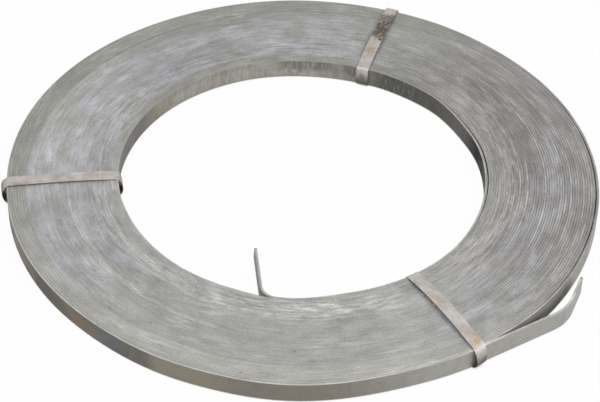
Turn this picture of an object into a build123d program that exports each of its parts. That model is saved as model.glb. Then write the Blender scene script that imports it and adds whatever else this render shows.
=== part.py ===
# Coil of galvanised flat steel strip, lying on its end and tied by three steel packing straps.
# Millimetres. The origin is on the floor, on the coil's axis. +Z is up and -Y is the front.
import os
from math import cos, radians, sin

from build123d import *

# Strip: a standard flat section, wound on edge with a little air and zinc between its turns
strip_width = 25.0
strip_thickness = 3.0
turn_slack = 0.125
turn_pitch = strip_thickness + turn_slack

# Wound pack: counts of turns from the bore outwards, and how far each bundle stands up
bore_radius = 226.0
inner_turns = 2
bundle_turns = (3, 4, 4, 3, 4, 1, 2, 1, 5, 4, 4, 6)
outer_turns = 2
stagger = 1.2
inner_lift_share = 0.8
bundle_lift_shares = (0.5, 0.15, 0.6, 0.3, 0.55, 1.0, 0.35, 0.9, 0.3, 0.0, 0.45, 0.2)
outer_lift_share = 0.7
pack_inner_radius = bore_radius + inner_turns * turn_pitch
pack_outer_radius = pack_inner_radius + sum(bundle_turns) * turn_pitch
coil_radius = pack_outer_radius + outer_turns * turn_pitch

# Inner end of the strip: it leaves the bore wall and is bent into the bore
inner_end_angle = -96.7
inner_bend_radius = 20.0
inner_bend_angle = 77.5
inner_end_run = 59.5

# Outer end of the strip: it springs off the last turn and is bent back along it
outer_end_angle = -55.0
spring_radius = 250.0
spring_angle = 3.7
outer_end_run = 90.0
outer_bend_radius = 20.0
outer_bend_angle = 36.5
outer_tip_run = 53.0

# Packing straps: flat steel strapping round the coil's section. Each runs a little askew from the bore to the
# rim, stands up over the turns, bows off both walls and is lapped on top near the rim.
strap_width = 16.0
strap_thickness = 0.8
strap_clearance = 0.9
left_bore_angle = -175.8
left_rim_angle = -174.6
left_top_bow = 2.0
left_outer_bow = 2.2
left_inner_bow = 4.5
left_lap = 25.0
front_bore_angle = -55.0
front_rim_angle = -56.4
front_top_bow = 5.0
front_outer_bow = 5.0
front_inner_bow = 3.5
front_lap = 14.0
back_bore_angle = 70.1
back_rim_angle = 71.2
back_top_bow = 4.5
back_outer_bow = 4.0
back_inner_bow = 1.0
back_lap = 74.0
straps = {
    "strap_left": (left_bore_angle, left_rim_angle, left_top_bow, left_outer_bow, left_inner_bow, left_lap),
    "strap_front": (front_bore_angle, front_rim_angle, front_top_bow, front_outer_bow, front_inner_bow, front_lap),
    "strap_back": (back_bore_angle, back_rim_angle, back_top_bow, back_outer_bow, back_inner_bow, back_lap),
}

coil_bottom = strap_thickness
coil_top = coil_bottom + stagger + strip_width

half_turn = 180

os.makedirs("parts", exist_ok=True)


def direction(angle):
    """Unit vector in the floor plane at an angle from +X."""
    return Vector(cos(radians(angle)), sin(radians(angle)))


def one_turn(start_radius, start_angle):
    """Closed line of one turn of the winding: two half circles that grow by one pitch, and the step."""
    half_turn_growth = turn_pitch / 2
    shift = half_turn_growth / 2
    outward = direction(start_angle)
    first = CenterArc(-outward * shift, start_radius + shift, start_angle, half_turn)
    second_radius = start_radius + turn_pitch - shift
    second = CenterArc(outward * shift, second_radius, start_angle + half_turn, half_turn)
    Line(second @ 1, first @ 0)


def strip_section(path, bottom):
    """Sketch plane of the strip's section at the start of a path along the strip."""
    return Plane(
        origin=(path @ 0) + Vector(0, 0, bottom + strip_width / 2),
        x_dir=(0, 0, 1),
        z_dir=path % 0,
    )


# The wound pack is one turned solid: each bundle of turns keeps the strip's width and shifts along the axis.
with BuildPart() as strip_coil:
    with BuildSketch(Plane.XZ):
        radius = pack_inner_radius
        for turns, share in zip(bundle_turns, bundle_lift_shares):
            bundle = turns * turn_pitch
            with Locations((radius + bundle / 2, coil_bottom + share * stagger + strip_width / 2)):
                Rectangle(bundle, strip_width)
            radius += bundle
    revolve(axis=Axis.Z)

    # The innermost turns close the bore, whose wall steps by one turn where the strip begins.
    inner_bottom = coil_bottom + inner_lift_share * stagger
    with BuildSketch(Plane.XY.offset(inner_bottom)):
        Circle(pack_inner_radius)
        with BuildLine():
            one_turn(bore_radius, inner_end_angle)
        make_face(mode=Mode.SUBTRACT)
    extrude(amount=strip_width)

    # The outermost turns step by one turn where the strip ends.
    outer_bottom = coil_bottom + outer_lift_share * stagger
    with BuildSketch(Plane.XY.offset(outer_bottom)):
        with BuildLine():
            one_turn(coil_radius - turn_pitch, outer_end_angle)
        make_face()
        Circle(pack_outer_radius, mode=Mode.SUBTRACT)
    extrude(amount=strip_width)

    # The strip's inner end follows the wall clockwise, then bends into the bore.
    with BuildLine() as inner_end:
        inner_root = direction(inner_end_angle) * (bore_radius + strip_thickness / 2)
        along_wall = direction(inner_end_angle - half_turn / 2)
        inner_bend = JernArc(inner_root, along_wall, inner_bend_radius, -inner_bend_angle)
        Line(inner_bend @ 1, (inner_bend @ 1) + (inner_bend % 1) * inner_end_run)
    with BuildSketch(strip_section(inner_end.line, inner_bottom)):
        Rectangle(strip_width, strip_thickness)
    sweep(path=inner_end.line)

    # The strip's outer end runs on counter-clockwise, springs off the coil and bends back beside it.
    with BuildLine() as outer_end:
        outer_root = direction(outer_end_angle) * (coil_radius - strip_thickness / 2)
        along_coil = direction(outer_end_angle + half_turn / 2)
        spring = JernArc(outer_root, along_coil, spring_radius, -spring_angle)
        run = Line(spring @ 1, (spring @ 1) + (spring % 1) * outer_end_run)
        outer_bend = JernArc(run @ 1, run % 1, outer_bend_radius, outer_bend_angle)
        Line(outer_bend @ 1, (outer_bend @ 1) + (outer_bend % 1) * outer_tip_run)
    with BuildSketch(strip_section(outer_end.line, outer_bottom)):
        Rectangle(strip_width, strip_thickness)
    sweep(path=outer_end.line)

strip_coil.part.label = "strip_coil"
export_step(strip_coil.part, "parts/strip_coil.step")

# Each strap is a band round the coil's section. It lies under the coil, goes up its outer wall, over the turns and
# down the bore, and its end is lapped over its start and spot welded to it.
strap_inner_radius = bore_radius - strap_clearance
strap_outer_radius = coil_radius + strap_clearance


def strap_inside(reach, top, top_bow, outer_bow, inner_bow):
    """Closed line of the inside of a strap, in the plane of its section."""
    under = Line((0, coil_bottom), (reach, coil_bottom))
    outer_side = SagittaArc(under @ 1, (reach, top), -outer_bow)
    over = SagittaArc(outer_side @ 1, (0, top), -top_bow)
    SagittaArc(over @ 1, under @ 0, -inner_bow)


for name, (bore_angle, rim_angle, top_bow, outer_bow, inner_bow, lap) in straps.items():
    bore_point = direction(bore_angle) * strap_inner_radius
    strap_run = direction(rim_angle) * strap_outer_radius - bore_point
    reach = strap_run.length
    section_plane = Plane(
        origin=bore_point,
        x_dir=strap_run,
        z_dir=strap_run.rotate(Axis.Z, -half_turn / 2),
    )
    lap_reach = lap + outer_bow + strap_thickness
    lap_height = coil_top + top_bow + strap_thickness * 3
    with BuildPart() as strap:
        with BuildSketch(section_plane):
            with BuildLine():
                strap_inside(reach, coil_top, top_bow, outer_bow, inner_bow)
            make_face()
            offset(amount=strap_thickness, kind=Kind.ARC)
        extrude(amount=strap_width / 2, both=True)

        # The lapped end comes up the outer wall and lies on the strap's start.
        with BuildSketch(section_plane):
            with BuildLine():
                strap_inside(reach, coil_top + strap_thickness, top_bow, outer_bow, inner_bow)
            make_face()
            offset(amount=strap_thickness, kind=Kind.ARC)
            with Locations((reach - lap, 0)):
                Rectangle(lap_reach, lap_height, align=(Align.MIN, Align.MIN), mode=Mode.INTERSECT)
        extrude(amount=strap_width / 2, both=True)

        # The coil fills the inside.
        with BuildSketch(section_plane):
            with BuildLine():
                strap_inside(reach, coil_top, top_bow, outer_bow, inner_bow)
            make_face()
        extrude(amount=strap_width / 2, both=True, mode=Mode.SUBTRACT)
    strap.part.label = name
    export_step(strap.part, f"parts/{name}.step")
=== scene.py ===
import math

import bmesh
import bpy
from mathutils import Matrix, Quaternion, Vector, noise


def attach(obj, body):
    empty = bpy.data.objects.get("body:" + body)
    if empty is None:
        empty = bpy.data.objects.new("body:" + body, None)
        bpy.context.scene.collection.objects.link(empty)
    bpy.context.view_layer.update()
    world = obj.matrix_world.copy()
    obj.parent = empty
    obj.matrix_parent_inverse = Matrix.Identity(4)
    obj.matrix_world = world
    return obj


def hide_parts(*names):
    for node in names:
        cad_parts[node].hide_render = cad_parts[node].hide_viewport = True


# Looks of a coil of galvanised flat strip with three packing straps. Metres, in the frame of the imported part.
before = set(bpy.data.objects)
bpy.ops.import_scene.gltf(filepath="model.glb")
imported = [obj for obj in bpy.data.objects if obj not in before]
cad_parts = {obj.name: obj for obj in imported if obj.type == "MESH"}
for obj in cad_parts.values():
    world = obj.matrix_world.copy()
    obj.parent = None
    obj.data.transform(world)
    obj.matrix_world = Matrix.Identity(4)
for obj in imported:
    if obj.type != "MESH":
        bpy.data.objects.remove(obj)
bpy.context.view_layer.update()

UP = Vector((0, 0, 1))
WHITE = (1, 1, 1, 1)

# Strip and winding. The strip's thickness counts its zinc.
STRIP_WIDTH = 0.025
STRIP_THICKNESS = 0.00308
EDGE_ROUNDING = 0.00035
TURN_PITCH = 0.003117
BORE_RADIUS = 0.226
FULL_TURNS = 44
COIL_RADIUS = BORE_RADIUS + (FULL_TURNS + 1) * TURN_PITCH
HALF_TURN_STEPS = 80
LAST_STRETCH_STEPS = 18
INNER_END_ANGLE = math.radians(-96.35)
OUTER_END_ANGLE = math.radians(-55.0)
COIL_BOTTOM = 0.0008
COIL_TOP = 0.027

# How far the turns stand up, on the average and more or less, and the share of that where seams are tight
LIFT_MIDDLE = 0.0006
LIFT_RANGE = 0.0003
TIGHT_LIFT_SHARE = 0.35

# How open the seams lie, from 0 to 1: everywhere, on the right, more there in the outer turns, and at the rim
TIGHT_SEAMS = 0.1
RIGHT_SEAMS = 0.3
RIGHT_OUTER_SEAMS = 0.35
LEFT_RIM_SEAMS = 0.45
FRONT_RIM_SEAMS = 0.6

# Slack turns: the first and last turns stand off the pack on the right. Turn number, half length, gap.
FIRST_SLACK = (0.29, 0.15, -0.0013)
LAST_SLACK = (43.26, 0.13, 0.0013)

# Stretches of the strip that stand proud and carry a painted highlight, by turn number
PROUD_TURNS = (
    (20.79, 20.97), (21.86, 21.97), (19.81, 19.87), (7.77, 7.91), (6.81, 6.94), (5.86, 5.93),
    (23.19, 23.4), (16.19, 16.28), (13.2, 13.33), (33.22, 33.29), (31.2, 31.25), (30.26, 30.31), (9.18, 9.24),
)
PROUD_HEIGHT = 0.0001

# Where the wound pack is out of round: angle and half width in degrees, and how far it stands out
RIM_HUMPS = (
    (-180, 30, -0.0014),
    (-146, 48, -0.0031),
    (-130, 16, -0.0010),
    (-92, 16, 0.0026),
    (-70, 14, -0.0020),
    (-40, 22, 0.0012),
    (47, 22, -0.0018),
    (74, 24, -0.0015),
    (116, 24, -0.0008),
)
BORE_HUMPS = (
    (-155, 34, -0.0020),
    (-94, 18, 0.0042),
    (-44, 34, 0.0015),
    (27, 16, -0.0018),
    (54, 14, -0.0012),
    (80, 34, -0.0026),
    (165, 38, -0.0012),
)

# Free ends of the strip
INNER_BEND_RADIUS = 0.022
INNER_BEND_ANGLE = math.radians(76.5)
INNER_BEND_STEPS = 14
INNER_END_RUN = 0.072
INNER_END_SLANT = 0.0125
SPRING_RADIUS = 0.250
SPRING_ANGLE = math.radians(2.7)
SPRING_STEPS = 4
OUTER_END_RUN = 0.0855
OUTER_END_STEPS = 12
OUTER_BEND_RADIUS = 0.058
OUTER_BEND_ANGLE = math.radians(36.5)
OUTER_BEND_STEPS = 8
OUTER_TIP_RUN = 0.037
TIP_STEPS = 8

# The strip's material slots, and the tilt under which a face counts as its wall
EDGE_SLOT = 0
WALL_SLOT = 1
WALL_TILT = 0.2
FLAT_FACE_WEIGHT = 90

# Strapping. A side is bowed in three stretches, each a share of its bow with its steps.
STRAP_WIDTH = 0.016
STRAP_THICKNESS = 0.0008
STRAP_CUTS = 3
STRAP_RUN_STEPS = 16
STRAP_SIDE_STRETCHES = ((0.22, 1), (0.56, 6), (0.22, 1))
STRAP_SIDE_REACH = 0.001
STRAP_SAG_RISE = 1.7
STRAP_START_GAP = 0.001
STRAP_UNDER_BEND = 0.0045
STRAP_BEND_STEPS = 6
STRAP_EDGE_WEAR = 0.00018
STRAP_WEAR_ANGLE = math.radians(50)
STRAP_WAVE = 0.0003
STRAP_WAVE_COUNT = 55

# The three straps. Angles in degrees where each leaves the bore and the rim, and how far it stands off their
# circles there. top_bow is how far its top bows up. outer and inner are how far that side bows out, how much
# of the bow sags to the bottom and how much more of it is at one edge. bore_bend and rim_bend are how far from
# the corner a bend begins. lap is how long the end lies on the start. The last entry darkens the strap below
# the coil's top with grime and painted shade: its share, the height where it is full and its tone.
STRAPS = {
    "strap_left": {
        "bore_angle": -175.3, "rim_angle": -174.2, "bore_stand": -0.0004, "rim_stand": -0.0022,
        "top_bow": 0.0020, "outer": (0.0055, 0, 0.15), "inner": (0.0035, 0.3, -0.25),
        "bore_bend": 0.0042, "rim_bend": 0.0050, "lap": 0.025, "grime_and_shade": (0.85, 0.0235, (138, 134, 124)),
    },
    "strap_front": {
        "bore_angle": -55.0, "rim_angle": -56.4, "bore_stand": -0.0006, "rim_stand": 0.0009,
        "top_bow": 0.0060, "outer": (0.0056, 0.1, 0.35), "inner": (0.0018, 0.6, 0.5),
        "bore_bend": 0.0030, "rim_bend": 0.0045, "lap": 0.014, "grime_and_shade": (0.92, 0.010, (84, 79, 71)),
    },
    "strap_back": {
        "bore_angle": 70.1, "rim_angle": 71.2, "bore_stand": 0.0030, "rim_stand": 0.0009,
        "top_bow": 0.0045, "outer": (0.0040, 0.3, 0), "inner": (0.0010, 0.3, 0),
        "bore_bend": 0.0030, "rim_bend": 0.0044, "lap": 0.081, "grime_and_shade": (0.92, 0.006, (94, 88, 79)),
    },
}

# Stains on the straps: place, reach, strength and tone
STRAP_STAINS = {
    "strap_left": (
        ((-0.346, -0.046, 0.028), 0.012, 0.5, (164, 142, 114)),
        ((-0.334, -0.044, 0.028), 0.011, 0.45, (170, 150, 126)),
        ((-0.302, -0.030, 0.029), 0.013, 0.4, (164, 148, 136)),
    ),
    "strap_front": (
        ((0.2001, -0.2971, 0.030), 0.0065, 0.75, (202, 160, 98)),
        ((0.196, -0.290, 0.030), 0.014, 0.4, (182, 160, 140)),
        ((0.1543, -0.2309, 0.031), 0.010, 0.45, (190, 162, 124)),
        ((0.1625, -0.238, 0.031), 0.009, 0.4, (164, 144, 128)),
    ),
    "strap_back": (
        ((0.1108, 0.316, 0.031), 0.022, 0.8, (100, 90, 78)),
        ((0.1043, 0.296, 0.031), 0.024, 0.9, (82, 72, 62)),
        ((0.0985, 0.279, 0.031), 0.018, 0.85, (100, 86, 66)),
        ((0.0868, 0.2463, 0.031), 0.012, 0.6, (168, 142, 112)),
        ((0.0764, 0.2099, 0.015), 0.008, 0.6, (104, 96, 88)),
    ),
}

# Patches of the turns' ends that are lighter or darker: angle and half width, radii, and the gain
ZINC_PATCHES = (
    (168, 20, 0.268, 0.338, 0.13),
    (112, 14, 0.318, 0.338, -0.13),
    (38, 9, 0.288, 0.325, -0.12),
    (14, 14, 0.318, 0.339, -0.12),
    (124, 14, 0.236, 0.290, -0.11),
    (12, 18, 0.236, 0.262, -0.12),
    (54, 12, 0.228, 0.290, -0.10),
    (-50, 14, 0.255, 0.290, 0.12),
    (-18, 14, 0.339, 0.380, -0.12),
    (-132, 14, 0.262, 0.290, -0.10),
    (-80, 14, 0.242, 0.262, 0.10),
)
PATCH_FADE = 7
PATCH_EDGE = 0.006

# Floor: its half size, the width of a gap that stays dark, and the two places beside the left strap's sides
# that carry a painted shadow, each with its reach across the gap
FLOOR_HALF_SIZE = 8
FLOOR_GAP = 0.012
STRAP_GAP_SHADOWS = (((-0.3648, -0.0215), 0.0066), ((-0.2278, -0.0020), 0.0050))

# Studio: strength of the white sky, and each lamp's place, size and power
SKY_STRENGTH = 0.52
LAMPS = {
    "key": ((1.6, -1.4, 2.3), 1.6, 42),
    "overhead": ((-0.9, -0.6, 2.7), 2.2, 30),
}

# Camera of the photograph
VIEW_ELEVATION = math.radians(40.23)
VIEW_DISTANCE = 2.487
VIEW_ROLL = math.radians(1.208)
VIEW_AIM = Vector((-0.0022, -0.0289, 0.0008))
SENSOR_WIDTH = 36.0
LENS = 119.9

# Sockets of a colour mix, which share their names with other sockets of that node
MIX_LOW = 6
MIX_HIGH = 7
MIX_RESULT = 2


def direction(angle):
    return Vector((math.cos(angle), math.sin(angle), 0))


def linear(red, green, blue):
    """Linear colour of a tone given as it shows on a screen, 0 to 255."""
    def channel(value):
        share = value / 255
        return share / 12.92 if share <= 0.04045 else ((share + 0.055) / 1.055) ** 2.4
    return (channel(red), channel(green), channel(blue), 1)


def rise(value, start, length):
    """Share from 0 to 1 of the way that a value has gone from a start over a length."""
    return min(1, max(0, (value - start) / length))


def hump(distance, half_width):
    """Smooth hump of height 1 that falls to 0 at half_width from its middle."""
    return (1 + math.cos(math.pi * min(abs(distance) / half_width, 1))) / 2


def out_of_round(angle, share):
    """How far a turn stands off its circle, at an angle in degrees and a share of the way to the rim."""
    def stand(humps):
        return sum(height * hump((angle - at + 180) % 360 - 180, half) for at, half, height in humps)
    bore = stand(BORE_HUMPS)
    return bore + (stand(RIM_HUMPS) - bore) * share


def add_piece(name, bm):
    mesh = bpy.data.meshes.new(name)
    bm.to_mesh(mesh)
    bm.free()
    piece = bpy.data.objects.new(name, mesh)
    bpy.context.scene.collection.objects.link(piece)
    return piece


# Strip


def section_loops(bm, place_layer, turn_layer, drop_layer):
    """The strip's rounded section once for each turn, side by side on the line where the inner end starts."""
    outward = direction(INNER_END_ANGLE)
    along = direction(INNER_END_ANGLE + math.pi / 2)
    upright = Matrix((outward, UP, along)).transposed().to_4x4()
    for turn in range(FULL_TURNS):
        square = bmesh.ops.create_grid(bm, x_segments=1, y_segments=1, size=0.5)["verts"]
        bmesh.ops.scale(bm, vec=(STRIP_THICKNESS, STRIP_WIDTH, 1), verts=square)
        corners = bmesh.ops.bevel(
            bm, geom=square, offset=EDGE_ROUNDING, offset_type="OFFSET", segments=2,
            profile=0.5, affect="VERTICES", material=-1,
        )["verts"]
        for vert in corners:
            vert[place_layer] = vert.co.x / (STRIP_THICKNESS / 2)
            vert[turn_layer] = turn
            vert[drop_layer] = max(0, math.copysign(STRIP_WIDTH / 2 - abs(vert.co.y), vert.co.y))
        middle = outward * (BORE_RADIUS + turn * TURN_PITCH + STRIP_THICKNESS / 2)
        middle.z = COIL_BOTTOM + STRIP_WIDTH / 2
        bmesh.ops.transform(bm, matrix=Matrix.Translation(middle) @ upright, verts=corners)
    bmesh.ops.delete(bm, geom=bm.faces[:], context="FACES_ONLY")


def turn_strip(bm, geom, centre, angle, steps):
    return bmesh.ops.spin(
        bm, geom=geom, cent=centre, axis=UP, angle=angle, steps=steps, use_merge=False,
    )["geom_last"]


def run_strip(bm, geom, heading, length, steps):
    return bmesh.ops.spin(
        bm, geom=geom, cent=(0, 0, 0), axis=UP, angle=0, dvec=heading * (length / steps), steps=steps,
        use_merge=False,
    )["geom_last"]


def open_loop(bm, inner):
    """Edges and vertices of the winding's open loop at its inner or outer end."""
    middle_radius = (BORE_RADIUS + COIL_RADIUS) / 2
    edges = []
    for edge in bm.edges:
        near = edge.verts[0].co.xy.length < middle_radius
        if len(edge.link_faces) == 1 and near == inner:
            edges.append(edge)
    verts = {vert for edge in edges for vert in edge.verts}
    return edges + list(verts)


def wind_on(bm, geom, centre, start, angle, steps, turn_layer):
    """Winds loops on about a centre and counts the share of a turn on the new vertices."""
    known = set(bm.verts)
    last = turn_strip(bm, geom, centre, angle, steps)
    for vert in bm.verts:
        if vert not in known:
            gone = math.atan2(vert.co.y, vert.co.x) - start
            vert[turn_layer] += ((gone + math.pi / 2) % math.tau - math.pi / 2) / math.tau
    return last


def wind(bm, turn_layer):
    """Winds all turns at once, by two half circles about two centres that grow each turn by one pitch."""
    shift = direction(INNER_END_ANGLE) * (TURN_PITCH / 4)
    geom = bm.edges[:] + bm.verts[:]
    start = INNER_END_ANGLE
    for centre in (-shift, shift):
        geom = wind_on(bm, geom, centre, start, math.pi, HALF_TURN_STEPS, turn_layer)
        start += math.pi
    bmesh.ops.remove_doubles(bm, verts=bm.verts[:], dist=TURN_PITCH / 100)
    last_stretch = OUTER_END_ANGLE - INNER_END_ANGLE
    wind_on(bm, open_loop(bm, False), -shift, INNER_END_ANGLE, last_stretch, LAST_STRETCH_STEPS, turn_layer)


def proud_share(turn):
    """How much a place along the strip stands proud, from 0 to 1."""
    return max(hump(turn - (start + end) / 2, (end - start) / 2) for start, end in PROUD_TURNS)


def looseness(angle, turn):
    """How open the seams lie at an angle in degrees: most on the right and at the rim in front."""
    right = rise(-abs(angle), -64, 26) * (RIGHT_SEAMS + RIGHT_OUTER_SEAMS * rise(turn, 16, 10))
    left_rim = LEFT_RIM_SEAMS * rise(turn, 34, 1) * rise(abs(angle), 105, 30)
    front_rim = FRONT_RIM_SEAMS * rise(turn, 42, 0.2) * rise(-angle, 70, 15)
    return max(TIGHT_SEAMS, right, left_rim, front_rim)


def settle_turns(bm, turn_layer, drop_layer):
    """Lets the turns stand a little higher or lower, out of round and slack, and squares the tight seams."""
    for vert in bm.verts:
        turn = vert[turn_layer]
        outward = Vector((vert.co.x, vert.co.y, 0)).normalized()
        angle = math.degrees(math.atan2(outward.y, outward.x))
        loose = looseness(angle, turn)
        wander = noise.noise((turn * 1.7, 3.0, 0)) + 0.6 * noise.noise((turn * 5.3, 9.0, 0))
        lift_share = TIGHT_LIFT_SHARE + (1 - TIGHT_LIFT_SHARE) * loose
        vert.co.z += LIFT_MIDDLE + LIFT_RANGE * max(-1, min(1, wander)) * lift_share
        vert.co.z += PROUD_HEIGHT * proud_share(turn) + vert[drop_layer] * (1 - loose)
        stand = out_of_round(angle, turn / FULL_TURNS)
        for place, half_length, gap in (FIRST_SLACK, LAST_SLACK):
            stand += gap * hump(turn - place, half_length)
        vert.co += outward * stand


def loop_verts(geom):
    return [item for item in geom if isinstance(item, bmesh.types.BMVert)]


def loop_edges(geom):
    return [item for item in geom if isinstance(item, bmesh.types.BMEdge)]


def loop_middle(geom):
    verts = loop_verts(geom)
    return sum((vert.co for vert in verts), Vector()) / len(verts)


def close_end(bm, geom):
    bmesh.ops.contextual_create(bm, geom=loop_edges(geom))


def inner_end(bm):
    """The first turn's end: bent off the bore wall, it stands into the bore and is cut on the slant."""
    geom = open_loop(bm, True)
    centre = loop_middle(geom) - direction(INNER_END_ANGLE) * INNER_BEND_RADIUS
    geom = turn_strip(bm, geom, centre, -INNER_BEND_ANGLE, INNER_BEND_STEPS)
    heading = direction(INNER_END_ANGLE - math.pi / 2 - INNER_BEND_ANGLE)
    geom = run_strip(bm, geom, heading, INNER_END_RUN, TIP_STEPS)
    middle = loop_middle(geom)
    for vert in loop_verts(geom):
        vert.co += heading * INNER_END_SLANT * (middle.z - vert.co.z) / STRIP_WIDTH
    close_end(bm, geom)


def outer_end(bm):
    """The last turn's end: it springs off the coil past the front strap and is bent back beside it."""
    geom = open_loop(bm, False)
    centre = loop_middle(geom) + direction(OUTER_END_ANGLE) * SPRING_RADIUS
    geom = turn_strip(bm, geom, centre, -SPRING_ANGLE, SPRING_STEPS)
    heading_angle = OUTER_END_ANGLE + math.pi / 2 - SPRING_ANGLE
    geom = run_strip(bm, geom, direction(heading_angle), OUTER_END_RUN, OUTER_END_STEPS)
    centre = loop_middle(geom) + direction(heading_angle + math.pi / 2) * OUTER_BEND_RADIUS
    geom = turn_strip(bm, geom, centre, OUTER_BEND_ANGLE, OUTER_BEND_STEPS)
    geom = run_strip(bm, geom, direction(heading_angle + OUTER_BEND_ANGLE), OUTER_TIP_RUN, TIP_STEPS)
    close_end(bm, geom)


def wound_strip(edge_finish, wall_finish):
    """The whole strip, wound and settled, with both free ends, and a finish each for edges and walls."""
    bm = bmesh.new()
    place_layer = bm.verts.layers.float.new("edge_place")
    turn_layer = bm.verts.layers.float.new("turn")
    drop_layer = bm.verts.layers.float.new("corner_drop")
    section_loops(bm, place_layer, turn_layer, drop_layer)
    wind(bm, turn_layer)
    settle_turns(bm, turn_layer, drop_layer)
    inner_end(bm)
    outer_end(bm)
    bmesh.ops.recalc_face_normals(bm, faces=bm.faces[:])
    for face in bm.faces:
        face.smooth = True
        face.material_index = WALL_SLOT if abs(face.normal.z) < WALL_TILT else EDGE_SLOT
    strip = add_piece("wound_strip", bm)
    strip.data.materials.append(edge_finish)
    strip.data.materials.append(wall_finish)
    weighted = strip.modifiers.new("flat_faces", "WEIGHTED_NORMAL")
    weighted.weight = FLAT_FACE_WEIGHT
    return strip


# Straps


def arch(first, last, bow):
    """Centre and angle of an outward bow between two points of a strap's section."""
    chord = last - first
    radius = (chord.length_squared / 4 + bow * bow) / (2 * bow)
    outwards = Vector((chord.y, -chord.x)).normalized()
    centre = (first + last) / 2 + outwards * (bow - radius)
    return centre, 2 * math.asin(chord.length / 2 / radius)


class Band:
    """A strap in the making: a sheet whose end is led on and on round the coil's section."""

    def __init__(self, shape):
        self.bore_point = direction(math.radians(shape["bore_angle"])) * (BORE_RADIUS - shape["bore_stand"])
        self.rim_point = direction(math.radians(shape["rim_angle"])) * (COIL_RADIUS + shape["rim_stand"])
        run = self.rim_point - self.bore_point
        self.reach = run.length
        self.ahead = run.normalized()
        self.axis = self.ahead.cross(UP)
        self.bm = bmesh.new()
        self.end = []
        self.bends = []

    def place(self, point):
        """Place of a point of the section, given by its way from the bore and its height."""
        return self.bore_point + self.ahead * point.x + UP * point.y

    def start(self, point):
        half = self.axis * (STRAP_WIDTH / 2)
        sides = [self.bm.verts.new(self.place(point) + side) for side in (-half, half)]
        edge = self.bm.edges.new(sides)
        bmesh.ops.subdivide_edges(self.bm, edges=[edge], cuts=STRAP_CUTS)
        self.end = self.bm.edges[:] + self.bm.verts[:]

    def bow_on(self, centre, angle, steps):
        self.end = bmesh.ops.spin(
            self.bm, geom=self.end, cent=self.place(centre), axis=self.axis, angle=angle, steps=steps,
            use_merge=False,
        )["geom_last"]

    def run_on(self):
        self.end = run_strip(self.bm, self.end, self.ahead, self.reach, STRAP_RUN_STEPS)

    def side_on(self, first, last, bowed):
        """Leads the end along a wall, bowed off it, sagging and more so at one edge."""
        bow, sag, twist = bowed
        known = set(self.bm.verts)
        centre, angle = arch(first, last, bow)
        for part, steps in STRAP_SIDE_STRETCHES:
            self.bow_on(centre, angle * part, steps)
        for vert in set(self.bm.verts) - known:
            off = vert.co - self.place(first)
            down = rise(COIL_TOP - vert.co.z, 0, COIL_TOP - COIL_BOTTOM)
            share = 1 + sag * (STRAP_SAG_RISE * down - 1)
            share *= 1 + twist * off.dot(self.axis) / (STRAP_WIDTH / 2)
            vert.co += self.ahead * off.dot(self.ahead) * (share - 1)

    def bend_here(self, offset):
        """Notes the end for a bend that begins this far from it."""
        self.bends.append((loop_edges(self.end), offset))

    def follow_round(self):
        """Lets the sides follow the round of the coil across the strap."""
        for vert in self.bm.verts:
            gone = (vert.co - self.bore_point).dot(self.ahead)
            if gone < STRAP_SIDE_REACH:
                corner = self.bore_point
            elif gone > self.reach - STRAP_SIDE_REACH:
                corner = self.rim_point
            else:
                continue
            beside = corner + self.axis * (vert.co - corner).dot(self.axis)
            step = beside.dot(self.ahead)
            room = math.sqrt(step * step - beside.length_squared + corner.length_squared)
            vert.co += self.ahead * (math.copysign(room, step) - step)

    def round_bends(self):
        for edges, offset in self.bends:
            bmesh.ops.bevel(
                self.bm, geom=edges, offset=offset, offset_type="OFFSET", segments=STRAP_BEND_STEPS,
                profile=0.5, affect="EDGES", material=-1, clamp_overlap=True,
            )

    def face_out(self):
        """Turns the faces away from the middle of the section."""
        self.bm.normal_update()
        middle = self.place(Vector((self.reach / 2, COIL_TOP / 2)))
        facing = 0
        for face in self.bm.faces:
            facing += (face.calc_center_median() - middle).dot(face.normal) * face.calc_area()
        if facing < 0:
            bmesh.ops.reverse_faces(self.bm, faces=self.bm.faces[:])

    def wave(self):
        """Lets the band stand up a little here and there, where it is clear of the floor."""
        for vert in self.bm.verts:
            if vert.co.z > STRAP_THICKNESS * 2:
                vert.co += vert.normal * STRAP_WAVE * max(0, noise.noise(vert.co * STRAP_WAVE_COUNT))


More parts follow.
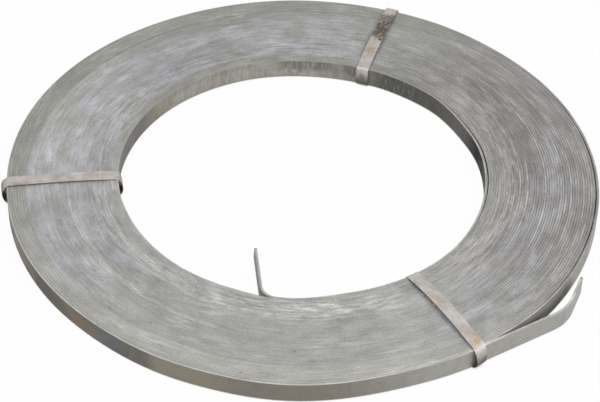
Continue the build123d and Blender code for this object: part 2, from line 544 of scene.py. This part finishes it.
def strap_band(name, finish, shape):
    """One strap as a band bent round the coil's section, from its covered start to its lapped end."""
    band = Band(shape)
    bore = Vector((0, COIL_TOP))
    under_bore = Vector((0, COIL_BOTTOM))
    under_rim = Vector((band.reach, COIL_BOTTOM))
    rim = Vector((band.reach, COIL_TOP))
    lapped_rim = rim + Vector((0, STRAP_THICKNESS))

    # The covered start lies just short of the rim.
    band.start(rim)
    centre, angle = arch(rim, bore, shape["top_bow"])
    covered = angle * (shape["rim_bend"] + STRAP_START_GAP) / band.reach
    turned = Matrix.Rotation(covered, 3, band.axis)
    bmesh.ops.rotate(band.bm, cent=band.place(centre), matrix=turned, verts=band.bm.verts[:])
    band.bow_on(centre, angle - covered, STRAP_RUN_STEPS)
    band.bend_here(shape["bore_bend"])
    band.side_on(bore, under_bore, shape["inner"])
    band.bend_here(STRAP_UNDER_BEND)
    band.run_on()
    band.bend_here(STRAP_UNDER_BEND)
    band.side_on(under_rim, lapped_rim, shape["outer"])
    band.bend_here(shape["rim_bend"])
    centre, angle = arch(lapped_rim, bore + lapped_rim - rim, shape["top_bow"])
    lap_steps = max(2, round(STRAP_RUN_STEPS * shape["lap"] / band.reach))
    band.bow_on(centre, angle * shape["lap"] / band.reach, lap_steps)

    band.follow_round()
    band.round_bends()
    band.face_out()
    band.wave()
    for face in band.bm.faces:
        face.smooth = True
    strap = add_piece(name + "_band", band.bm)
    strap.data.materials.append(finish)
    wall = strap.modifiers.new("thickness", "SOLIDIFY")
    wall.thickness = STRAP_THICKNESS
    wall.offset = 1
    wear = strap.modifiers.new("worn_edges", "BEVEL")
    wear.width = STRAP_EDGE_WEAR
    wear.segments = 2
    wear.limit_method = "ANGLE"
    wear.angle_limit = STRAP_WEAR_ANGLE
    strap.modifiers.new("flat_faces", "WEIGHTED_NORMAL")
    return strap


# Finishes


class Finish:
    """A node material in the making. Each call adds nodes and gives an output."""

    def __init__(self, name):
        self.material = bpy.data.materials.new(name)
        self.material.use_nodes = True
        self.nodes = self.material.node_tree.nodes
        self.links = self.material.node_tree.links
        self.shader = self.nodes["Principled BSDF"]
        self.point = self.add("ShaderNodeTexCoord", {}, "Object")
        flat = self.vector("MULTIPLY", self.point, (1, 1, 0))
        self.radius = self.vector("LENGTH", flat, output="Value")
        self.outward = self.vector("NORMALIZE", flat)
        self.height = self.add("ShaderNodeSeparateXYZ", {0: self.point}, "Z")

    def fill(self, node, inputs):
        """Sets a node's inputs, or links them where the value is an output."""
        for key, value in inputs.items():
            if isinstance(value, bpy.types.NodeSocket):
                self.links.new(value, node.inputs[key])
            else:
                node.inputs[key].default_value = value

    def add(self, kind, inputs, output=0, **settings):
        node = self.nodes.new(kind)
        for key, value in settings.items():
            setattr(node, key, value)
        self.fill(node, inputs)
        return node.outputs[output]

    def math(self, operation, *values):
        return self.add("ShaderNodeMath", dict(enumerate(values)), operation=operation)

    def both(self, first, *others):
        """Product of several masks."""
        for other in others:
            first = self.math("MULTIPLY", first, other)
        return first

    def either(self, first, *others):
        """Largest of several masks."""
        for other in others:
            first = self.math("MAXIMUM", first, other)
        return first

    def vector(self, operation, *values, output=0):
        return self.add("ShaderNodeVectorMath", dict(enumerate(values)), output, operation=operation)

    def attribute(self, name):
        return self.add("ShaderNodeAttribute", {}, "Fac", attribute_name=name)

    def streaks(self, around, across, seed):
        """Coordinates that stretch a pattern along the turns: counts per radian and per metre of radius."""
        depth = self.math("MULTIPLY_ADD", self.radius, across, seed)
        ring = self.add("ShaderNodeVectorMath", {0: self.outward, "Scale": around}, operation="SCALE")
        return self.vector("ADD", ring, self.add("ShaderNodeCombineXYZ", {"Z": depth}))

    def noise(self, vector, scale, detail=3.0, roughness=0.55):
        inputs = {"Vector": vector, "Scale": scale, "Detail": detail, "Roughness": roughness}
        return self.add("ShaderNodeTexNoise", inputs, "Fac")

    def along_strip(self, turn, count, seed, detail=1.0):
        """Pattern that changes along the strip and differs from turn to turn: counts per turn."""
        place = self.math("MULTIPLY_ADD", turn, count, seed)
        inputs = {"W": place, "Scale": 1.0, "Detail": detail}
        return self.add("ShaderNodeTexNoise", inputs, "Fac", noise_dimensions="1D")

    def span(self, value, low, high, to_low=0.0, to_high=1.0, kind="SMOOTHSTEP"):
        inputs = {"Value": value, "From Min": low, "From Max": high, "To Min": to_low, "To Max": to_high}
        return self.add("ShaderNodeMapRange", inputs, interpolation_type=kind)

    def window(self, value, low, high, fade):
        """Mask of the values between two limits."""
        risen = self.span(value, low - fade, low + fade)
        fallen = self.span(value, high - fade, high + fade, 1.0, 0.0)
        return self.both(risen, fallen)

    def sector(self, centre, half_width, fade):
        """Mask of a sector of the ring, by angles in degrees."""
        middle = direction(math.radians(centre))
        facing = self.vector("DOT_PRODUCT", self.outward, middle, output="Value")
        low = math.cos(math.radians(min(half_width + fade, 180)))
        high = math.cos(math.radians(max(half_width - fade, 0)))
        return self.span(facing, low, high)

    def band(self, low, high, fade):
        """Mask of a ring between two radii in metres."""
        return self.window(self.radius, low, high, fade)

    def patch(self, centre, half_width, fade, low, high, edge):
        """Mask of a stretch of a ring: a sector with its fade in degrees, radii with their fade in metres."""
        return self.both(self.sector(centre, half_width, fade), self.band(low, high, edge))

    def spot(self, place, reach):
        """Mask of a round spot about a place in metres."""
        distance = self.vector("DISTANCE", self.point, place, output="Value")
        return self.span(distance, reach, reach * 0.3)

    def specks(self, count, reach, empty):
        """Mask of small scattered specks: cells a metre, reach in metres, share of the cells left empty."""
        inputs = {"Vector": self.point, "Scale": count}
        distance = self.add("ShaderNodeTexVoronoi", inputs, "Distance", voronoi_dimensions="2D")
        chance = self.add("ShaderNodeTexVoronoi", inputs, "Color", voronoi_dimensions="2D")
        chance = self.add("ShaderNodeSeparateColor", {0: chance}, "Red")
        near = self.span(distance, reach * count, reach * count * 0.5)
        return self.both(near, self.span(chance, empty, empty + 0.02))

    def mix(self, share, low, high):
        inputs = {"Factor": share, MIX_LOW: low, MIX_HIGH: high}
        return self.add("ShaderNodeMix", inputs, MIX_RESULT, data_type="RGBA")

    def stained(self, colour, tone, share, *masks):
        """Colour with a tone laid over it, by a share, where all masks meet."""
        return self.mix(self.both(*masks, share), colour, linear(*tone))

    def swing(self, pattern, amount):
        """Value that swings about 1 with a pattern."""
        return self.math("MULTIPLY_ADD", self.math("SUBTRACT", pattern, 0.5), amount, 1.0)

    def toned(self, colour, *values):
        """Colour made lighter or darker by a product of values about 1."""
        return self.add("ShaderNodeHueSaturation", {"Color": colour, "Value": self.both(*values)})

    def bumped(self, height, strength):
        """Normal of a fine relief."""
        return self.add("ShaderNodeBump", {"Height": height, "Strength": strength, "Distance": 0.0002})


def zinc_edge_finish():
    """Ends of the turns: olive and violet grey zinc, streaked along the strip, flecked, with seams darkened by
    dirt and painted shade, and painted highlights.
    """
    finish = Finish("zinc_edge")
    turn = finish.attribute("turn")
    place = finish.attribute("edge_place")
    coarse = finish.noise(finish.streaks(9.0, 55.0, 0.0), 1.0, 6.0, 0.62)
    streaky = finish.noise(finish.streaks(7.0, 330.0, 4.0), 1.0, 5.0, 0.62)
    fine = finish.noise(finish.point, 420.0, 4.0, 0.65)
    drift = finish.noise(finish.streaks(3.0, 40.0, 5.0), 1.0, 3.0)
    broken = finish.along_strip(turn, 60.0, 11.0, 2.0)
    right = finish.sector(4, 46, 22)

    # Violet bloom over olive zinc
    back_bloom = finish.patch(130, 62, 14, 0.242, 0.321, 0.005)
    left_bloom = finish.patch(-164, 28, 10, 0.250, 0.343, 0.006)
    front_bloom = finish.both(finish.patch(-22, 40, 14, 0.246, 0.345, 0.010), 0.6)
    blooming = finish.either(back_bloom, left_bloom, front_bloom)
    bloom = finish.span(finish.math("MULTIPLY_ADD", coarse, 1.5, streaky), 1.0, 1.5)
    # On the right the zinc is a warmer grey, and darker, partly as painted shade from how its sheen takes the
    # light
    colour = finish.mix(right, linear(163, 163, 159), linear(156, 154, 151))
    colour = finish.stained(colour, (173, 172, 179), 0.85, bloom, blooming)

    # Shade on the right, the rings at the bore and the rim, and the dark line between rings at the back
    shade = finish.patch(18, 20, 12, 0.262, 0.300, 0.010)
    colour = finish.stained(colour, (130, 127, 124), 0.6, shade)
    smudged = finish.patch(-35, 12, 8, 0.252, 0.308, 0.010)
    colour = finish.stained(colour, (116, 114, 110), 0.4, smudged, finish.span(coarse, 0.48, 0.6))
    pale_bore = finish.both(finish.patch(0, 44, 12, 0.200, 0.260, 0.006), 0.4)
    pale_rim = finish.both(finish.patch(-115, 62, 20, 0.338, 0.380, 0.004), 0.55)
    colour = finish.stained(colour, (178, 177, 172), finish.either(pale_bore, pale_rim))
    dull_rim = finish.patch(125, 72, 20, 0.339, 0.380, 0.003)
    dull_bore = finish.patch(105, 55, 15, 0.200, 0.241, 0.003)
    colour = finish.stained(colour, (150, 149, 143), 0.6, finish.either(dull_rim, dull_bore))
    boundary = finish.patch(108, 44, 14, 0.3375, 0.3395, 0.0008)
    colour = finish.stained(colour, (122, 121, 115), 0.4, boundary)

    # Lighter and darker stretches of single turns
    lines = finish.along_strip(turn, 2.6, 40.0)
    contrast = finish.span(right, 0.0, 1.0, 0.05, 0.3)
    contrast = finish.both(contrast, finish.span(coarse, 0.4, 0.6, 0.4, 1.0))
    colour = finish.stained(colour, (190, 187, 183), contrast, finish.span(lines, 0.56, 0.74))
    colour = finish.stained(colour, (118, 115, 111), contrast, finish.span(lines, 0.45, 0.28))

    # White flecks, thick by the bore in front, thin elsewhere
    flecks = finish.noise(finish.streaks(12.0, 210.0, 11.0), 1.0, 6.0, 0.7)
    flecks = finish.span(flecks, 0.43, 0.62)
    thick = finish.patch(-93, 29, 12, 0.235, 0.263, 0.006)
    thin = finish.span(drift, 0.48, 0.62, 0.0, 0.5)
    colour = finish.stained(colour, (205, 204, 201), 0.75, flecks, finish.either(thick, thin))

    # Painted highlights: dashes along the proud stretches, and bright lines along the rim, the bore and the
    # free ends, where rounded edges catch the light
    proud = [finish.window(turn, start, end, (end - start) / 6) for start, end in PROUD_TURNS]
    dashes = finish.span(broken, 0.34, 0.6)
    mid_edge = finish.window(place, -0.6, 0.5, 0.3)
    proud_highlight = finish.span(right, 0.0, 1.0, 0.6, 0.5)
    colour = finish.stained(colour, (210, 208, 203), proud_highlight, finish.either(*proud), dashes, mid_edge)
    # Painted highlight along the edges of the last and first turns and on the free end
    rim_highlight = finish.both(finish.span(turn, 43.02, 43.08), finish.sector(-62, 108, 16))
    rim_highlight = finish.both(rim_highlight, finish.span(place, -0.2, 0.5))
    bore_highlight = finish.both(finish.span(turn, 0.98, 0.92), finish.sector(-70, 110, 16))
    bore_highlight = finish.both(bore_highlight, finish.span(place, 0.2, -0.5))
    edge_highlight = finish.both(finish.either(rim_highlight, bore_highlight), finish.span(broken, 0.3, 0.6, 0.2, 0.65))
    free_end_highlight = finish.both(finish.span(turn, 44.1, 44.112), 0.75)
    colour = finish.stained(colour, (206, 205, 199), finish.either(edge_highlight, free_end_highlight))

    # Dark mottles and specks, and dirt with painted shade in the seams, most on the right
    mottles = finish.noise(finish.streaks(16.0, 110.0, 9.0), 1.0, 4.0, 0.6)
    colour = finish.stained(colour, (128, 126, 122), finish.span(mottles, 0.58, 0.74, 0.0, 0.4))
    colour = finish.stained(colour, (112, 110, 104), 0.6, finish.specks(18.0, 0.0018, 0.84))
    right_seams = finish.both(right, finish.span(finish.radius, 0.268, 0.305, 0.25, 0.6))
    left_rim = finish.both(finish.patch(180, 50, 20, 0.338, 0.380, 0.003), 0.35)
    last_seam = finish.both(finish.span(turn, 43.6, 43.65), finish.span(place, 0.0, -0.3))
    next_seam = finish.both(finish.window(turn, 42.6, 43.15, 0.03), finish.span(place, 0.0, 0.3))
    front_rim = finish.both(finish.sector(-122, 40, 15), finish.either(last_seam, next_seam), 0.6)
    seam_dirt_and_shade = finish.either(right_seams, left_rim, front_rim, 0.02)
    seam = finish.span(finish.math("ABSOLUTE", place), 0.66, 0.97)
    colour = finish.stained(colour, (84, 81, 77), seam_dirt_and_shade, seam)

    swing = finish.span(right, 0.0, 1.0, 0.6, 1.0)
    swing = finish.math("MULTIPLY_ADD", finish.band(0.236, 0.266, 0.006), 0.5, swing)
    tones = [finish.swing(streaky, swing), finish.swing(fine, 0.75), finish.swing(coarse, 0.7)]
    for centre, half_width, low, high, gain in ZINC_PATCHES:
        patch = finish.patch(centre, half_width, PATCH_FADE, low, high, PATCH_EDGE)
        tones.append(finish.math("MULTIPLY_ADD", patch, gain, 1.0))
    grain = finish.noise(finish.streaks(60.0, 900.0, 2.0), 1.0, 3.0)
    finish.fill(finish.shader, {
        "Base Color": finish.toned(colour, *tones),
        "Roughness": finish.span(coarse, 0.35, 0.65, 0.5, 0.68),
        "Metallic": 0.3,
        "Normal": finish.bumped(grain, 0.3),
    })
    return finish.material


def zinc_wall_finish():
    """Faces of the strip that show on the outer wall, in the bore and on the free ends."""
    finish = Finish("zinc_wall")
    outside = finish.span(finish.radius, 0.29, 0.30)
    runs = finish.noise(finish.vector("MULTIPLY", finish.point, (1, 1, 0.3)), 130.0, 5.0, 0.65)
    cloud = finish.noise(finish.point, 28.0, 4.0, 0.6)
    drips = finish.noise(finish.vector("MULTIPLY", finish.point, (1, 1, 0.14)), 420.0, 4.0, 0.65)
    rolled = finish.noise(finish.vector("MULTIPLY", finish.point, (0.12, 0.12, 1)), 500.0, 3.0, 0.6)

    # Outer wall: clean zinc by the front strap, tan left of it, and darkened by grime and painted shadow where
    # the free end hides it, most towards the bottom
    outer = finish.mix(finish.sector(-33, 38, 15), linear(132, 127, 118), linear(167, 165, 160))
    outer = finish.stained(outer, (148, 140, 125), 0.8, finish.sector(-113, 8, 6))
    last_turn = finish.span(finish.radius, 0.3712, 0.3688)
    outer = finish.stained(outer, (104, 101, 94), 0.35, finish.sector(-23.5, 3, 2.5), last_turn)
    grime_and_shade = finish.span(finish.height, 0.0235, 0.010, 0.08, 0.9)
    outer = finish.stained(outer, (58, 55, 47), grime_and_shade, finish.sector(-38.5, 9, 2.5), last_turn)
    low = finish.span(finish.height, 0.020, 0.008)
    outer = finish.stained(outer, (166, 150, 132), 0.5, finish.sector(-27, 1.5, 2.5), low)

    # Further round the outer wall: brown on the left, then a smear of rust, a bluish patch and a dark one
    outer = finish.stained(outer, (98, 91, 81), 0.95, finish.sector(-165, 33, 9))
    rusty = finish.span(runs, 0.36, 0.6, 0.4, 1.0)
    outer = finish.stained(outer, (138, 116, 92), 0.7, finish.sector(-134, 3, 3), rusty)
    bluish = finish.span(runs, 0.36, 0.55, 0.75, 1.0)
    outer = finish.stained(outer, (98, 104, 107), 0.9, finish.sector(-125.5, 2.5, 2.5), bluish)
    dark = finish.span(runs, 0.36, 0.55, 0.7, 1.0)
    outer = finish.stained(outer, (104, 102, 95), 0.9, finish.sector(-120.5, 2.5, 2.5), dark)

    # Bore wall: beige at the back with dark runs from above, brown at the back left, and painted shade on the
    # right, dark grey to nearly black, with less specular where it is darkest
    bore = finish.mix(finish.span(cloud, 0.35, 0.65), linear(148, 144, 136), linear(164, 161, 153))
    bore = finish.stained(bore, (132, 120, 104), 0.5, finish.sector(148, 6, 5))
    bore = finish.stained(bore, (102, 98, 91), 0.85, finish.sector(174, 22, 8))
    bore = finish.stained(bore, (74, 73, 68), 0.88, finish.sector(30, 37, 6))
    bore_shade = finish.sector(4, 12, 9)
    bore = finish.stained(bore, (18, 19, 21), 0.95, bore_shade)
    upper = finish.span(finish.math("MULTIPLY_ADD", runs, 0.03, finish.height), 0.020, 0.030)
    upper_place = finish.either(finish.sector(89.5, 8.5, 3), finish.sector(74.5, 2, 1.5))
    upper_runs = finish.both(upper_place, upper, finish.span(drips, 0.36, 0.56))
    full_runs = finish.both(finish.sector(60, 7, 3), finish.span(drips, 0.42, 0.6))
    bore = finish.stained(bore, (92, 92, 88), 0.75, finish.either(upper_runs, full_runs))
    pale_runs = finish.span(drips, 0.54, 0.66)
    bore = finish.stained(bore, (152, 152, 145), 0.45, finish.sector(60, 8, 3), pale_runs)
    into_bore = finish.span(finish.radius, 0.2255, 0.2235)
    bore = finish.stained(bore, (100, 97, 91), 0.7, finish.sector(-98, 14, 4), into_bore)

    colour = finish.mix(outside, bore, outer)
    colour = finish.stained(colour, (104, 100, 93), finish.span(runs, 0.5, 0.75, 0.0, 0.25))
    # Painted highlight: a lighter band along the top of the walls, where the rounded edge catches the light
    top_edge_highlight = finish.span(finish.height, 0.0252, 0.0264)
    colour = finish.stained(colour, (190, 188, 183), 0.4, top_edge_highlight)
    drip_swing = finish.span(outside, 0.0, 1.0, 1.1, 0.05)
    tones = finish.swing(cloud, 0.3), finish.swing(drips, drip_swing), finish.swing(rolled, 0.35)
    bore_wall_shade = finish.both(bore_shade, finish.math("SUBTRACT", 1.0, outside))
    finish.fill(finish.shader, {
        "Base Color": finish.toned(colour, *tones),
        "Roughness": finish.span(cloud, 0.35, 0.65, 0.48, 0.65),
        "Metallic": 0.2,
        "Specular IOR Level": finish.span(bore_wall_shade, 0.0, 1.0, 0.35, 0.05),
        "Normal": finish.bumped(rolled, 0.2),
    })
    return finish.material


def strap_finish(name, shape):
    """Bare strapping: warm pinkish grey, drawn lengthwise, darker with grime and painted shade where it goes
    down the walls.
    """
    finish = Finish(name + "_steel")
    turned = (0, 0, -math.radians(shape["rim_angle"]))
    lengthwise = finish.add("ShaderNodeMapping", {"Vector": finish.point, "Rotation": turned})
    lengthwise = finish.vector("MULTIPLY", lengthwise, (0.1, 1, 0.4))
    drawn = finish.noise(lengthwise, 700.0, 3.0)
    cloud = finish.noise(finish.point, 75.0, 4.0, 0.6)
    fray = finish.noise(finish.point, 260.0, 5.0, 0.7)
    frayed = finish.span(fray, 0.36, 0.64)
    colour = finish.mix(finish.span(cloud, 0.35, 0.65), linear(188, 179, 172), linear(204, 200, 196))
    colour = finish.stained(colour, (162, 151, 143), finish.span(drawn, 0.45, 0.7, 0.0, 0.4))
    # Grime and painted shade: darker below the coil's top, where the sides turn from the light, and less
    # metallic and glossy there
    grime_and_shade, full_height, grime_and_shade_tone = shape["grime_and_shade"]
    dull_and_shaded = finish.both(finish.span(finish.height, COIL_TOP, full_height), grime_and_shade)
    colour = finish.stained(colour, grime_and_shade_tone, dull_and_shaded)
    for place, reach, share, tone in STRAP_STAINS[name]:
        stain = finish.math("MULTIPLY_ADD", frayed, 0.8, finish.spot(place, reach))
        colour = finish.stained(colour, tone, share, finish.span(stain, 0.75, 1.3))
    finish.fill(finish.shader, {
        "Base Color": finish.toned(colour, finish.swing(fray, 0.35)),
        "Roughness": finish.span(cloud, 0.35, 0.65, 0.38, 0.55),
        "Metallic": finish.span(dull_and_shaded, 0.0, 1.0, 0.4, 0.1),
        "Specular IOR Level": finish.span(dull_and_shaded, 0.0, 1.0, 0.5, 0.1),
        "Normal": finish.bumped(drawn, 0.2),
    })
    return finish.material


# Stage


def floor_finish():
    """White that shows as it is, but plain paint in narrow gaps, and a painted shadow beside the left strap."""
    finish = Finish("floor_white")
    finish.nodes.remove(finish.shader)
    # Painted shadow on the floor by the left strap's sides: darker paint and no white glow there
    lit_share = 1.0
    for (x, y), reach in STRAP_GAP_SHADOWS:
        squeeze = {"Vector": finish.point, "Location": (-x, -y / 2, 0), "Scale": (1, 0.5, 1)}
        away = finish.vector("LENGTH", finish.add("ShaderNodeMapping", squeeze), output="Value")
        lit_share = finish.both(finish.span(away, reach * 0.6, reach * 1.1, kind="LINEAR"), lit_share)
    shade = finish.span(lit_share, 0.0, 1.0, 0.13, 0.6, kind="LINEAR")
    paint = finish.add("ShaderNodeBsdfDiffuse", {"Color": shade})
    glow = finish.add("ShaderNodeEmission", {"Color": WHITE})
    openness = finish.add("ShaderNodeAmbientOcclusion", {"Distance": FLOOR_GAP}, "AO", samples=8)
    clear = finish.span(openness, 0.1, 0.45, 0.0, 0.97, kind="LINEAR")
    rays = finish.nodes.new("ShaderNodeLightPath").outputs
    seen = finish.either(rays["Is Camera Ray"], rays["Is Glossy Ray"], rays["Is Transmission Ray"])
    share = finish.both(seen, finish.both(clear, lit_share))
    blend = finish.add("ShaderNodeMixShader", {"Fac": share, 1: paint, 2: glow})
    finish.fill(finish.nodes["Material Output"], {"Surface": blend})
    return finish.material


def white_floor():
    bm = bmesh.new()
    bmesh.ops.create_grid(bm, x_segments=1, y_segments=1, size=FLOOR_HALF_SIZE)
    floor = add_piece("floor", bm)
    floor.data.materials.append(floor_finish())


def set_up(name, data, place, aim, roll=0):
    """Puts a lamp or a camera at a place and turns it towards its aim."""
    holder = bpy.data.objects.new(name, data)
    holder.location = place
    holder.rotation_mode = "QUATERNION"
    look = (aim - holder.location).to_track_quat("-Z", "Y")
    holder.rotation_quaternion = look @ Quaternion((0, 0, 1), roll)
    bpy.context.scene.collection.objects.link(holder)
    return holder


def studio():
    world = bpy.data.worlds.new("studio")
    world.use_nodes = True
    sky = world.node_tree.nodes["Background"]
    sky.inputs["Color"].default_value = WHITE
    sky.inputs["Strength"].default_value = SKY_STRENGTH
    bpy.context.scene.world = world
    for name, (place, size, watts) in LAMPS.items():
        lamp = bpy.data.lights.new(name, "AREA")
        lamp.shape = "DISK"
        lamp.size = size
        lamp.energy = watts
        set_up(name, lamp, place, Vector())


def photo_camera():
    camera = bpy.data.cameras.new("photo_camera")
    camera.sensor_width = SENSOR_WIDTH
    camera.lens = LENS
    back = Vector((0, -math.cos(VIEW_ELEVATION), math.sin(VIEW_ELEVATION)))
    place = Vector((0, 0, COIL_BOTTOM)) + back * VIEW_DISTANCE
    bpy.context.scene.camera = set_up("photo_camera", camera, place, VIEW_AIM, VIEW_ROLL)


strip = wound_strip(zinc_edge_finish(), zinc_wall_finish())
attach(strip, "root")
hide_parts("strip_coil")

for node, shape in STRAPS.items():
    strap = strap_band(node, strap_finish(node, shape), shape)
    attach(strap, "root")
    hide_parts(node)

white_floor()
studio()
photo_camera()
bpy.context.scene.view_settings.view_transform = "Standard"
